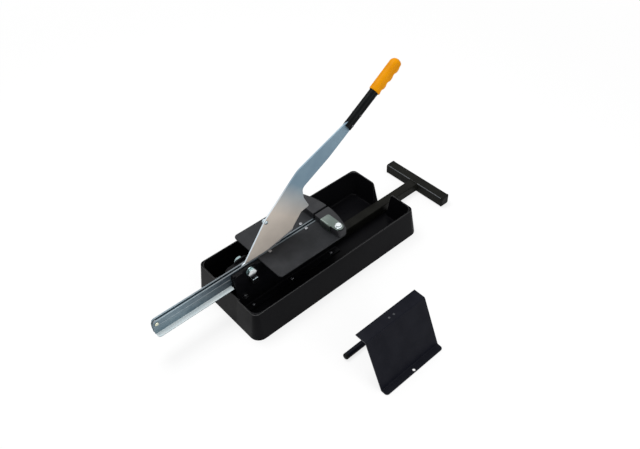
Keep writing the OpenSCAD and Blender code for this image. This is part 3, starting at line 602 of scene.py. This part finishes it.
def even_shading(piece, angle=40):
    """Soft shading that leaves the large flat faces flat."""
    pick(piece)
    bpy.ops.object.shade_smooth_by_angle(angle=math.radians(angle))
    weigh = piece.modifiers.new("weigh", "WEIGHTED_NORMAL")
    weigh.keep_sharp = True
    bpy.ops.object.modifier_apply(modifier=weigh.name)


def round_edges(piece, width, segments=2, angle=30, smooth=40):
    """Rounds all edges that are sharper than the angle."""
    pick(piece)
    bevel = piece.modifiers.new("edges", "BEVEL")
    bevel.width = width
    bevel.segments = segments
    bevel.limit_method = "ANGLE"
    bevel.angle_limit = math.radians(angle)
    bevel.use_clamp_overlap = False
    bevel.loop_slide = False
    # A second finish, where a piece has one, is lighter: a painted highlight on the bevels.
    if len(piece.data.materials) > 1:
        bevel.material = 1
    bpy.ops.object.modifier_apply(modifier=bevel.name)
    even_shading(piece, smooth)


def traced(node):
    """A merged copy of a CAD node, ready to be worked on."""
    pick(nodes[node])
    bpy.ops.object.duplicate()
    piece = bpy.context.object
    piece.name = node + "_soft"
    piece.data.name = piece.name
    piece.parent = None
    del piece["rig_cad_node"]
    bpy.ops.object.mode_set(mode="EDIT")
    bpy.ops.mesh.select_all(action="SELECT")
    bpy.ops.mesh.customdata_custom_splitnormals_clear()
    bpy.ops.mesh.remove_doubles(threshold=0.01 * mm)
    bpy.ops.mesh.dissolve_limited(angle_limit=math.radians(0.5))
    bpy.ops.object.mode_set(mode="OBJECT")
    return piece


softened = [
    ("carrier_left", "base", (carrier_coat,), "black_steel", 0.5 * mm, 2),
    ("carrier_right", "base", (carrier_coat,), "black_steel", 0.5 * mm, 2),
    ("packer_left", "base", (carrier_coat,), "black_steel", 0.5 * mm, 2),
    ("packer_right", "base", (carrier_coat,), "black_steel", 0.5 * mm, 2),
    ("rail_left", "base", (rail_zinc,), "galvanised_steel", 0.45 * mm, 2),
    ("rail_right", "base", (rail_zinc,), "galvanised_steel", 0.45 * mm, 2),
    ("carrier_rivets", "base", (dull_zinc,), "fastener_steel", 0.7 * mm, 3),
    ("bed_left", "base", (bed_coat,), "charcoal_steel", 0.6 * mm, 2),
    ("bed_right", "base", (bed_coat,), "charcoal_steel", 0.6 * mm, 2),
    ("fence_left", "base", (fence_moulding,), "charcoal_plastic", 0.8 * mm, 3),
    ("fence_right", "base", (fence_moulding,), "charcoal_plastic", 0.8 * mm, 3),
    ("pivot_washers", "base", (pivot_zinc,), "bright_steel", 0.5 * mm, 2),
    ("stop_washer", "base", (bright_zinc,), "bright_steel", 0.4 * mm, 2),
    ("handle_tube", "lever", (tube_gloss,), "black_gloss_steel", 0.4 * mm, 2),
    ("foot_shaft", "t_foot", (foot_coat, foot_edge_highlight), "black_steel", 0.4 * mm, 2),
    ("foot_crossbar", "t_foot", (foot_coat, foot_edge_highlight), "black_steel", 0.4 * mm, 2),
    ("foot_cap_left", "t_foot", (rubber_black,), "black_plastic", 0.8 * mm, 3),
    ("foot_cap_right", "t_foot", (rubber_black,), "black_plastic", 0.8 * mm, 3),
    ("stop_arm", "stop", (stop_zinc,), "galvanised_steel", 0.3 * mm, 2),
    ("stand_panel", "stand", (stand_coat, stand_edge_highlight), "stand_steel", 0.5 * mm, 2),
    ("stand_strut", "stand", (stand_coat, stand_edge_highlight), "stand_steel", 0.5 * mm, 2),
]
round_in_solid = ("foot_crossbar",)
flat_normal = 0.97
for node, body, finishes, slot, width, segments in softened:
    piece = traced(node)
    dress(piece, *finishes)
    round_edges(piece, width, segments)
    # The leaning corner faces of the crossbar take the lighter finish, a painted highlight.
    if node in round_in_solid:
        for face in piece.data.polygons:
            if max(abs(part) for part in face.normal) < flat_normal:
                face.material_index = 1
    hand_over(piece, body, slot, node)

# %% [markdown]
# ## The tray
#
# A moulded tub never has a sharp corner between floor and wall, because the plastic would crack
# there. We take the sharp edges on the outline of the floor and bevel them wide, and then those
# of the rim, the bay and the notch with a small radius. The edges inside the hollow walls are left
# as they are: a bevel there would only run into the ribs.

# %% Tray
tray = traced("base_tray")
dress(tray, tray_black, tray_rim_highlight)
floor_z = 2.6 * mm
rim_z = 82 * mm
outline_x = 93 * mm
outline_y = 247 * mm
hollow_y = 264.6 * mm
end_wall_y = 255 * mm
bay_half = 47 * mm
bay_drop = 2.1 * mm
notch_half = 45 * mm
notch_core_x = 38 * mm
hair = 0.05 * mm


def on_floor(p):
    """On the outline of the floor, and not inside the hollow end walls."""
    outline = abs(p.x) > outline_x or abs(p.y) > outline_y
    return abs(p.z - floor_z) < hair and outline and abs(p.y) < hollow_y


def on_rim(p):
    """On the rim, in the bay of the rail or in the notch of the foot's shaft."""
    bay = p.y < -end_wall_y and abs(p.x) < bay_half and p.z > rim_z - bay_drop
    notch = p.y > end_wall_y and abs(p.x) < notch_half and p.z > floor_z - hair
    wall_core = abs(abs(p.x) - notch_core_x) < hair
    return p.z > rim_z - hair or bay or (notch and not wall_core)


def bevel_sharp(piece, test, width, segments, finish_index):
    """Bevels the sharp edges that have both ends where the test wants them."""
    choose(piece, "EDGE", lambda a, b: False)
    bpy.ops.mesh.edges_select_sharp(sharpness=math.radians(30))
    bpy.ops.object.mode_set(mode="OBJECT")
    corners = piece.data.vertices
    for face in piece.data.polygons:
        face.select = False
    for edge in piece.data.edges:
        edge.select = edge.select and all(test(corners[i].co) for i in edge.vertices)
    print("edges:", sum(edge.select for edge in piece.data.edges))
    bpy.ops.object.mode_set(mode="EDIT")
    bpy.ops.mesh.bevel(
        offset=width,
        segments=segments,
        affect="EDGES",
        clamp_overlap=False,
        loop_slide=False,
        material=finish_index,
    )
    bpy.ops.object.mode_set(mode="OBJECT")


# The rim's bevels take the lighter finish, a painted highlight.
bevel_sharp(tray, on_rim, width=0.9 * mm, segments=3, finish_index=1)
bevel_sharp(tray, on_floor, width=5 * mm, segments=4, finish_index=0)
even_shading(tray)
hand_over(tray, "base", "tray_plastic", "base_tray")

# %% [markdown]
# ## The blade
#
# The blade is one plate. Its spine and its flat sides have one finish, and the narrow face along
# the cutting edge was ground last, so it gets a brighter steel. We find it by its normal and its
# area: the flat sides look straight along X, the ground face looks a little down, and the rounded
# edges are much smaller.

# %% Blade
blade = traced("blade")
dress(blade, blade_steel)
round_edges(blade, 0.4 * mm, 2, angle=60, smooth=10)
dress(blade, blade_steel, ground_edge)
steepest = 0.80
flattest = 0.99
least_area = 200 * mm * mm
ground = 0
for face in blade.data.polygons:
    if steepest < abs(face.normal.x) < flattest and face.area > least_area:
        face.material_index = 1
        ground += 1
print("ground faces:", ground)
hand_over(blade, "lever", "blade_steel", "blade")

# %% [markdown]
# ## The grip
#
# The grip is a sleeve of soft orange plastic. We start from a disc, extrude it up ring by ring and
# resize each ring, so the sleeve swells slightly and closes in a round end. Four finger hollows
# are pushed in from below with proportional editing, and the ridges between them pulled out: only
# one half ring is moved each time, and the rings beside it follow softly. At the open end an inset
# and a short extrusion inwards make the mouth that the tube sits in.

# %% Grip
grip_length = 98 * mm
rings = 49
foot_radius = 13.8 * mm
mouth_length = 2.4 * mm
dome_start = 84 * mm
dome_length = 14.3 * mm


def grip_radius(z):
    """A slight swell, drawn in at the mouth and closed by a dome."""
    swell = 15.0 * mm + 1.0 * mm * z / grip_length
    mouth = 1.2 * mm * max(0, 1 - z / mouth_length) ** 2
    dome = max(0, (z - dome_start) / dome_length)
    return (swell - mouth) * math.sqrt(1 - dome ** 2)


bpy.ops.object.select_all(action="DESELECT")
bpy.ops.mesh.primitive_circle_add(vertices=48, radius=foot_radius, fill_type="NGON")
grip = bpy.context.object
bpy.ops.object.mode_set(mode="EDIT")
bpy.ops.mesh.select_mode(type="FACE")
bpy.ops.mesh.select_all(action="SELECT")
radius = foot_radius
for ring in range(1, rings + 1):
    z = grip_length * ring / rings
    bpy.ops.mesh.extrude_region_move(TRANSFORM_OT_translate={"value": (0, 0, grip_length / rings)})
    grow = grip_radius(z) / radius
    bpy.ops.transform.resize(value=(grow, grow, 1))
    radius = grip_radius(z)
bpy.ops.object.mode_set(mode="OBJECT")
print("grip:", rings, "rings")

# %% Finger hollows
fingers = 4
finger = grip_length / fingers
hollow_push = -3.1 * mm
ridge_push = 1.2 * mm
near_ring = 0.9 * mm
underside = 7 * mm
for hollow in range(fingers):
    at = round((hollow + 0.5) * finger / grip_length * rings) * grip_length / rings
    for shift, push in ((0, hollow_push), (finger / 2, ridge_push)):
        choose(grip, "VERT", lambda p: abs(p.z - at - shift) < near_ring and p.y > underside)
        bpy.ops.transform.translate(
            value=(0, push, 0),
            use_proportional_edit=True,
            proportional_edit_falloff="SMOOTH",
            proportional_size=9 * mm,
        )
        bpy.ops.object.mode_set(mode="OBJECT")
choose(grip, "FACE", lambda p, n: n.z < -0.9 and p.z < 0.5 * mm)
bpy.ops.mesh.inset(thickness=1.7 * mm)
bpy.ops.mesh.extrude_region_move(TRANSFORM_OT_translate={"value": (0, 0, 8 * mm)})
close_up(grip)
up_the_tube = Vector((0, 0.8368, 0.5476))
tube_foot = Vector((0, 138.1, 361.6)) * mm
tube_turn = (math.radians(-56.8), 0, 0)
settle(grip, tube_foot + 109 * mm * up_the_tube, tube_turn)
joined("grip_sleeve", [grip])
dress(grip, grip_orange)
hand_over(grip, "lever", "orange_grip", "grip")

# %% [markdown]
# ## Bolts and nuts
#
# A real hexagon is turned before it is sold: its six corners are cut off by a cone, which leaves
# the curved line on every flat. We get the same line by letting a round bar with bevelled rims
# cut a six-sided prism. A bolt's end is a disc extruded up in half turns of the thread, in and
# out by turns. Both are modelled once for each size, and the copies are laid in their places.

# %% Hexagons and threads
lying = (0, math.radians(90), 0)
lying_back = (0, math.radians(-90), 0)
upside_down = (math.pi, 0, 0)
bar_share = 0.572
rim_share = 0.085
thread_share = 0.86


def turned_corners(piece, radius, height, rim):
    """Cuts the corners of a bar with a round bar, half a facet turned, whose rims are bevelled."""
    facets = 48
    bpy.ops.object.select_all(action="DESELECT")
    bpy.ops.mesh.primitive_cylinder_add(
        vertices=facets, radius=radius, depth=height, rotation=(0, 0, math.pi / facets)
    )
    bar = bpy.context.object
    choose(bar, "EDGE", lambda a, b: abs(a.z - b.z) < 0.01 * mm)
    bpy.ops.mesh.bevel(offset=rim, segments=2, affect="EDGES")
    bpy.ops.object.mode_set(mode="OBJECT")
    cut(piece, bar, "INTERSECT")


def clear_slivers(piece):
    """Merges and dissolves what a cut or a bevel left with no area."""
    choose(piece, "VERT", lambda p: True)
    bpy.ops.mesh.remove_doubles(threshold=0.02 * mm)
    bpy.ops.mesh.dissolve_degenerate(threshold=0.02 * mm)
    bpy.ops.object.mode_set(mode="OBJECT")


def hexagon(flats, height):
    """A hexagon from Z 0 up to its height."""
    bpy.ops.object.select_all(action="DESELECT")
    bpy.ops.mesh.primitive_cylinder_add(vertices=6, radius=flats / math.sqrt(3), depth=height)
    piece = bpy.context.object
    turned_corners(piece, bar_share * flats, height, rim_share * flats)
    clear_slivers(piece)
    round_edges(piece, 0.25 * mm, 2)
    clear_slivers(piece)
    return settle(piece, (0, 0, height / 2))


def bolt_end(radius, length, pitch):
    """The threaded end of a bolt, from Z 0 up."""
    bpy.ops.object.select_all(action="DESELECT")
    bpy.ops.mesh.primitive_circle_add(vertices=32, radius=radius, fill_type="NGON")
    piece = bpy.context.object
    bpy.ops.object.mode_set(mode="EDIT")
    bpy.ops.mesh.select_all(action="SELECT")
    tip = 0.6 * pitch
    steps = 2 * round((length - tip) / pitch)
    rise = (length - tip) / steps
    for step in range(steps):
        grow = thread_share if step % 2 == 0 else 1 / thread_share
        bpy.ops.mesh.extrude_region_move(TRANSFORM_OT_translate={"value": (0, 0, rise)})
        bpy.ops.transform.resize(value=(grow, grow, 1))
    bpy.ops.mesh.extrude_region_move(TRANSFORM_OT_translate={"value": (0, 0, tip)})
    bpy.ops.transform.resize(value=(0.8, 0.8, 1))
    close_up(piece)
    return piece


# %% Pivot bolt
pivot = Vector((0, -207.5, 116)) * mm
head_seat = pivot + Vector((22.5 * mm, 0, 0))
nut_seat = pivot - Vector((30.5 * mm, 0, 0))
end_x = pivot.x + 30 * mm
head = settle(hexagon(flats=22 * mm, height=8 * mm), head_seat, lying)
shank = settle(bolt_end(radius=6 * mm, length=55.5 * mm, pitch=1.75 * mm), head_seat, lying_back)
pivot_bolt = joined("pivot_bolt_turned", [head, shank])
dress(pivot_bolt, pivot_zinc, bolt_end_painted_light)
# The end face takes the painted highlight above and the painted shade below.
for face in pivot_bolt.data.polygons:
    if face.normal.x > 0.9 and face.center.x > end_x:
        face.material_index = 1
hand_over(pivot_bolt, "base", "bright_steel", "pivot_bolt")
pivot_nut = settle(hexagon(flats=22 * mm, height=8 * mm), nut_seat, lying)
joined("pivot_nut_turned", [pivot_nut])
dress(pivot_nut, pivot_zinc)
hand_over(pivot_nut, "base", "bright_steel", "pivot_nut")

# %% Clamp bolts
clamp_places = ((-205, 92), (17, 103), (49, 103), (-233, 43), (-78.96, 55))
clamps = [Vector((0, y, z)) * mm for y, z in clamp_places]
cheek = Vector((20 * mm, 0, 0))
one_head = hexagon(flats=13 * mm, height=5.3 * mm)
one_nut = hexagon(flats=13 * mm, height=6.5 * mm)
one_shank = bolt_end(radius=4 * mm, length=49 * mm, pitch=1.25 * mm)
bolts = []
nuts = []
for place in clamps[1:]:
    bolts.append(settle(copy_of(one_head), place + cheek, lying))
for place in clamps:
    bolts.append(settle(copy_of(one_shank), place + cheek, lying_back))
    nuts.append(settle(copy_of(one_nut), place - cheek, lying_back))
clamp_bolts = joined("clamp_bolts_turned", bolts)
dress(clamp_bolts, dull_zinc)
hand_over(clamp_bolts, "base", "fastener_steel", "clamp_bolts")
clamp_nuts = joined("clamp_nuts_turned", nuts)
dress(clamp_nuts, dull_zinc)
hand_over(clamp_nuts, "base", "fastener_steel", "clamp_nuts")

# %% [markdown]
# The bolt below the pivot has a square head, long enough for a spanner to reach past the pivot. It
# is a cube whose edges are bevelled and take a lighter second finish, a painted highlight around
# darker faces.

# %% Square head
bpy.ops.object.select_all(action="DESELECT")
square_size = 16 * mm
bpy.ops.mesh.primitive_cube_add(size=square_size)
square = bpy.context.object
# Its bevelled edges take the lighter pin_zinc: a painted highlight around the darker faces.
dress(square, dark_zinc, pin_zinc)
round_edges(square, 0.9 * mm, 3)
settle(square, clamps[0] + cheek + Vector((square_size / 2, 0, 0)), lying)
joined("square_head", [square])
hand_over(square, "base", "fastener_steel")

# %% Stop bolt
stop_seat = Vector((80, 31, 152.1)) * mm
stop_head = settle(copy_of(one_head), stop_seat)
stop_shank = bolt_end(radius=4 * mm, length=37.1 * mm, pitch=1.25 * mm)
settle(stop_shank, stop_seat, upside_down)
stop_bolt = joined("stop_bolt_turned", [stop_head, stop_shank])
dress(stop_bolt, bright_zinc)
hand_over(stop_bolt, "base", "bright_steel", "stop_bolt")
stop_nut = settle(copy_of(one_nut), Vector((80, 31, 117.5)) * mm)
joined("stop_nut_turned", [stop_nut])
dress(stop_nut, dull_zinc)
hand_over(stop_nut, "base", "fastener_steel", "stop_nut")

# %% Throw the patterns away
pick(one_head, one_shank)
bpy.ops.object.delete()
print("kept for the blade's pin:", one_nut.name)

# %% [markdown]
# ## Rivets and screws
#
# A set rivet has a low round head on both sides. We halve a ball with a bisecting plane and press
# it flat, and add the shank between two such heads. The screws of the bed get the same low head
# with a cross cut into it by two crossed bars.

# %% Rivet and screw heads


def low_head(radius, height):
    """A low round head that stands on Z 0."""
    bpy.ops.object.select_all(action="DESELECT")
    bpy.ops.mesh.primitive_uv_sphere_add(segments=32, ring_count=16, radius=radius)
    piece = bpy.context.object
    bpy.ops.object.mode_set(mode="EDIT")
    bpy.ops.mesh.select_all(action="SELECT")
    bpy.ops.mesh.bisect(plane_co=(0, 0, 0), plane_no=(0, 0, 1), use_fill=True, clear_inner=True)
    bpy.ops.mesh.select_all(action="SELECT")
    bpy.ops.transform.resize(value=(1, 1, height / radius))
    close_up(piece)
    return piece


def set_rivet(shank, length, radius, height):
    """A rivet along X, set at both ends, with its middle at the origin."""
    head = low_head(radius, height)
    far_head = copy_of(head)
    settle(head, (length / 2, 0, 0), lying)
    settle(far_head, (-length / 2, 0, 0), lying_back)
    bpy.ops.object.select_all(action="DESELECT")
    bpy.ops.mesh.primitive_cylinder_add(vertices=24, radius=shank, depth=length)
    body = settle(bpy.context.object, (0, 0, 0), lying)
    round_edges(body, 0.2 * mm)
    return joined("rivet", [head, far_head, body])


# %% Rivets
rail_rivet = set_rivet(shank=3 * mm, length=9.2 * mm, radius=5.2 * mm, height=2.4 * mm)
settle(rail_rivet, Vector((0, -463, 118)) * mm)
joined("rail_end_rivet_set", [rail_rivet])
dress(rail_rivet, yellow_zinc)
hand_over(rail_rivet, "base", "bright_steel", "rail_end_rivet")
first = set_rivet(shank=2.5 * mm, length=23.2 * mm, radius=3.6 * mm, height=1.5 * mm)
second = copy_of(first)
settle(first, tube_foot + 9 * mm * up_the_tube)
settle(second, tube_foot + 40 * mm * up_the_tube)
handle_rivets = joined("handle_rivets_set", [first, second])
dress(handle_rivets, dark_zinc)
hand_over(handle_rivets, "lever", "fastener_steel", "handle_rivets")

# %% [markdown]
# A pin goes through the blade near its spine. It has a low head on the near side and a nut on the
# far side, which is the nut of the clamp bolts scaled down.

# %% Blade pin
pin_near = Vector((2, -132.5, 217.3)) * mm
pin_far = Vector((-2, -132.5, 217.3)) * mm
pin_head = settle(low_head(radius=5.2 * mm, height=2.4 * mm), pin_near, lying)
one_nut.scale = (0.8, 0.8, 0.8)
pin_nut = settle(one_nut, pin_far, lying_back)
pin_end = settle(bolt_end(radius=3 * mm, length=8 * mm, pitch=1 * mm), pin_far, lying_back)
blade_pin = joined("blade_pin", [pin_head, pin_nut, pin_end])
dress(blade_pin, pin_zinc)
hand_over(blade_pin, "lever", "bright_steel")

# %% Bed screws
screw = low_head(radius=4.6 * mm, height=0.5 * mm)
bpy.ops.object.select_all(action="DESELECT")
bpy.ops.mesh.primitive_cube_add(size=1)
cross = bpy.context.object
cross.scale = (5.6 * mm, 1.1 * mm, 2 * mm)
settle(cross, (0, 0, 0.7 * mm))
bpy.ops.object.mode_set(mode="EDIT")
bpy.ops.mesh.select_all(action="SELECT")
bpy.ops.mesh.duplicate()
bpy.ops.transform.rotate(value=math.radians(90), orient_axis="Z", center_override=(0, 0, 0))
bpy.ops.object.mode_set(mode="OBJECT")
cut(screw, cross, "DIFFERENCE")
stem_length = 18 * mm
bpy.ops.mesh.primitive_cylinder_add(vertices=24, radius=2.5 * mm, depth=stem_length)
stem = settle(bpy.context.object, (0, 0, -stem_length / 2))
round_edges(stem, 0.3 * mm)
screw = joined("screw", [screw, stem])
screws = []
for x in (-11.3, 11.3):
    for y in (-137.3, -18.3):
        screws.append(settle(copy_of(screw), Vector((x, y, 127.7)) * mm))
pick(screw)
bpy.ops.object.delete()
bed_screws = joined("bed_screws_crossed", screws)
dress(bed_screws, dull_zinc)
hand_over(bed_screws, "base", "fastener_steel", "bed_screws")

# %% [markdown]
# ## Weld beads
#
# The shaft is welded to the crossbar, and the end stand's strut to its rod. A weld is a row of
# small frozen waves. One wave is a flattened ball, an Array modifier repeats it along the seam, and
# a Remesh modifier melts the row into one skin, which a little smoothing makes soft.

# %% Welds


def bead(length, radius):
    """A bead along X with its middle at the origin."""
    bpy.ops.object.select_all(action="DESELECT")
    bpy.ops.mesh.primitive_uv_sphere_add(segments=20, ring_count=12, radius=radius)
    piece = bpy.context.object
    bpy.ops.object.mode_set(mode="EDIT")
    bpy.ops.mesh.select_all(action="SELECT")
    bpy.ops.transform.resize(value=(0.85, 1, 0.8))
    bpy.ops.object.mode_set(mode="OBJECT")
    count = round(length / radius)
    row = piece.modifiers.new("row", "ARRAY")
    row.count = count
    row.use_relative_offset = False
    row.use_constant_offset = True
    row.constant_offset_displace = (length / count, 0, 0)
    melt = piece.modifiers.new("melt", "REMESH")
    melt.mode = "VOXEL"
    melt.voxel_size = 0.45 * mm
    soft = piece.modifiers.new("soft", "SMOOTH")
    soft.iterations = 2
    for modifier in ("row", "melt", "soft"):
        bpy.ops.object.modifier_apply(modifier=modifier)
    bpy.ops.object.shade_smooth()
    return settle(piece, (-length * (count - 1) / count / 2, 0, 0))


foot_bead = 2.4 * mm
top_bead = settle(bead(28 * mm, foot_bead), Vector((0, 404.6, 30.6)) * mm)
right_bead = settle(bead(26 * mm, foot_bead), Vector((13.8, 404.6, 17)) * mm, lying)
left_bead = settle(bead(26 * mm, foot_bead), Vector((-13.8, 404.6, 17)) * mm, lying)
foot_weld = joined("foot_weld", [top_bead, right_bead, left_bead])
dress(foot_weld, foot_coat)
hand_over(foot_weld, "t_foot", "black_steel")
rod_bead = 2 * mm
crosswise = (0, 0, math.radians(90))
near_bead = settle(bead(28 * mm, rod_bead), Vector((310.6, -63, 14.6)) * mm, crosswise)
far_bead = settle(bead(28 * mm, rod_bead), Vector((306.6, -63, 16.2)) * mm, crosswise)
rod_weld = joined("rod_weld", [near_bead, far_bead])
dress(rod_weld, stand_coat)
hand_over(rod_weld, "stand", "stand_steel")

# %% [markdown]
# ## The rest
#
# The solids that are hidden, or plain enough as they are, keep their CAD shape and only get a
# finish.

# %% Finishes for the solids that stay
plain_solids = [
    (dull_zinc, ("slot_spacers", "guide_screws", "fence_screws")),
    (dark_zinc, ("stand_rivets",)),
    (rubber_black, ("shaft_guide", "shaft_plug", "stand_rod_caps")),
    (carrier_coat, ("tie_tubes",)),
    (stand_coat, ("stand_rod",)),
    (bush_bronze, ("pivot_bush",)),
]
for material, names in plain_solids:
    for name in names:
        dress(nodes[name], material)
    print(material.name, "on", ", ".join(names))
